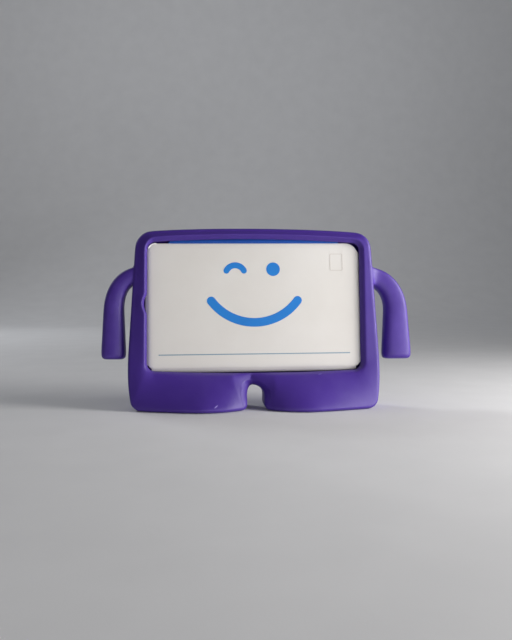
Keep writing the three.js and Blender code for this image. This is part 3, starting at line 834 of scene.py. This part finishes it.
def foam_finish():
    """Matte closed-cell foam: a fine dull grain, slight clouding, edges rubbed a little lighter, a scrape on the left
    leg and a painted highlight on the right leg.
    """
    made = Finish("moulded_foam", Specular_IOR_Level=0.55, Sheen_Weight=0.04, Sheen_Roughness=0.5)
    cloud = made.group(MOTTLE, Scale=24.0, Detail=4.0)
    colour = made.blend(cloud, (0.05, 0.0155, 0.25), (0.058, 0.019, 0.28))
    worn = add(made.tree, "ShaderNodeAttribute", attribute_name="worn").outputs["Fac"]
    patchy = made.group(MOTTLE, Scale=90.0, Detail=5.0)
    rubbed = add(made.tree, "ShaderNodeMath", operation="MULTIPLY")
    made.link(worn, rubbed.inputs[0])
    made.link(map_range(made.tree, patchy, 0.3, 1, 0.1, 0.4), rubbed.inputs[1])
    colour = made.blend(rubbed.outputs[0], colour, (0.11, 0.055, 0.42))
    nick = made.group(NICK_AND_HIGHLIGHT_MASK, Place=(-0.0393, -0.0277, 0.0059), Turn=(0, 0.63, 0), Size=(0.0026, 0.004, 0.0007))
    # Painted highlight on the right leg below the lip, where light catches a slight dent; the dent itself is not
    # shaped.
    dent_highlight = made.group(NICK_AND_HIGHLIGHT_MASK, Place=(0.0555, -0.0054, 0.0311), Turn=(0, 0.2, 0), Size=(0.0024, 0.004, 0.0006))
    colour = made.blend(nick, colour, (0.28, 0.22, 0.6))
    # The painted highlight makes that spot on the right leg a lighter purple.
    colour = made.blend(dent_highlight, colour, (0.12, 0.08, 0.42))
    roughness = map_range(made.tree, patchy, 0, 1, 0.44, 0.54)
    grain = made.group(GRAIN, Scale=1500.0, Pits=0.35)
    swell = made.group(GRAIN, Scale=160.0, Pits=0.0)
    normal = made.bump(grain, 0.35, 0.0002, made.bump(swell, 0.25, 0.0004))
    return made.set(colour, roughness, normal)


def card_finish(name, first, second, rough=(0.5, 0.62)):
    """Smooth printed card: faint fibres and a slight clouding."""
    made = Finish(name, Specular_IOR_Level=0.4)
    cloud = made.group(MOTTLE, Scale=18.0, Detail=5.0)
    fibres = made.group(GRAIN, Scale=900.0, Pits=0.0)
    colour = made.blend(cloud, first, second)
    roughness = map_range(made.tree, fibres, 0.3, 0.7, *rough)
    return made.set(colour, roughness, made.bump(fibres, 0.25, 0.00008))


foam = foam_finish()
for made, finish in (
        (case, foam),
        (card, card_finish("off_white_card", (0.76, 0.735, 0.7), (0.8, 0.78, 0.75))),
        (flap, card_finish("blue_card", (0.012, 0.085, 0.42), (0.018, 0.105, 0.48))),
        (smile, card_finish("blue_ink", (0.01, 0.205, 0.66), (0.013, 0.235, 0.72))),
        (rule, card_finish("pale_blue_ink", (0.2, 0.32, 0.42), (0.28, 0.4, 0.5))),
        # The corner strip's card is whiter than the panel's: a painted highlight where the curled edge catches the
        # light.
        (corner_edge, card_finish("corner_edge_highlight", (0.9, 0.89, 0.88), (0.94, 0.93, 0.92))),
        (box_outline, card_finish("grey_ink", (0.6, 0.56, 0.53), (0.68, 0.64, 0.6)))):
    made.data.materials.append(finish)
for made in (wink, dot):
    made.data.materials.append(smile.data.materials[0])

# Floor and backdrop in one sweep
def make_sweep():
    bm = bmesh.new()
    edge_verts = [bm.verts.new((x, -3, 0)) for x in (-4, 4)]
    edges = [bm.edges.new(edge_verts)]
    made = bmesh.ops.extrude_edge_only(bm, edges=edges)["geom"]
    bmesh.ops.translate(bm, verts=verts_of(made), vec=(0, 4.6, 0))
    rim = [e for e in bm.edges if all(v.co.y > 1 for v in e.verts)]
    turned = bmesh.ops.spin(bm, geom=rim + list({v for e in rim for v in e.verts}), cent=(0, 1.6, 1),
                            axis=(1, 0, 0), angle=math.pi / 2, steps=16)["geom_last"]
    made = bmesh.ops.extrude_edge_only(
        bm, edges=[e for e in turned if isinstance(e, bmesh.types.BMEdge)])["geom"]
    bmesh.ops.translate(bm, verts=verts_of(made), vec=(0, 0, 2.5))
    return finished(bm, "studio_sweep", Matrix.Identity(4))


sweep = make_sweep()
sweep.data.materials.append(card_finish("pale_sweep", (0.74, 0.74, 0.75), (0.77, 0.77, 0.78), (0.8, 0.9)))

# Camera
TARGET = Vector((-0.0026, 0, 0.0803))
AZIMUTH, ELEVATION, DISTANCE = math.radians(-4.2), math.radians(2.2), 0.6
back = Vector((math.sin(AZIMUTH) * math.cos(ELEVATION), -math.cos(AZIMUTH) * math.cos(ELEVATION),
               math.sin(ELEVATION)))
eye = bpy.data.cameras.new("camera")
eye.lens = 37.07
eye.sensor_width = 36
eye.clip_start = 0.01
eye.clip_end = 50
camera = bpy.data.objects.new("camera", eye)
camera.location = TARGET + back * DISTANCE
camera.rotation_euler = (-back).to_track_quat("-Z", "Y").to_euler()
bpy.context.scene.collection.objects.link(camera)
bpy.context.scene.camera = camera


def area_light(name, place_at, aim, size, power, colour):
    lamp = bpy.data.lights.new(name, "AREA")
    lamp.shape = "RECTANGLE"
    lamp.size, lamp.size_y = size
    lamp.energy = power
    lamp.color = colour
    made = bpy.data.objects.new(name, lamp)
    made.location = place_at
    made.rotation_euler = (Vector(aim) - Vector(place_at)).to_track_quat("-Z", "Y").to_euler()
    bpy.context.scene.collection.objects.link(made)


area_light("key", (0.7, -0.2, 0.34), (0, 0, 0.06), (0.3, 0.3), 5.3, (1, 0.98, 0.96))
area_light("low", (0.62, -0.4, 0.03), (0, 0, 0.06), (0.3, 0.05), 2.3, (1, 0.98, 0.96))
area_light("fill", (0.15, -0.85, 0.05), (0, 0, 0.06), (0.3, 0.05), 1, (1, 0.98, 0.96))
area_light("back", (-1.2, 1, 1.1), (0, 0, 0.06), (0.6, 0.6), 9, (0.95, 0.97, 1))
area_light("backdrop", (0, 1, 1.6), (0, 2.6, 1.2), (3, 0.3), 9, (0.95, 0.97, 1))

world = bpy.data.worlds.new("studio")
bpy.context.scene.world = world
world.use_nodes = True
world.node_tree.nodes["Background"].inputs["Color"].default_value = (0.95, 0.97, 1, 1)
world.node_tree.nodes["Background"].inputs["Strength"].default_value = 0.11
bpy.context.scene.view_settings.view_transform = "Standard"
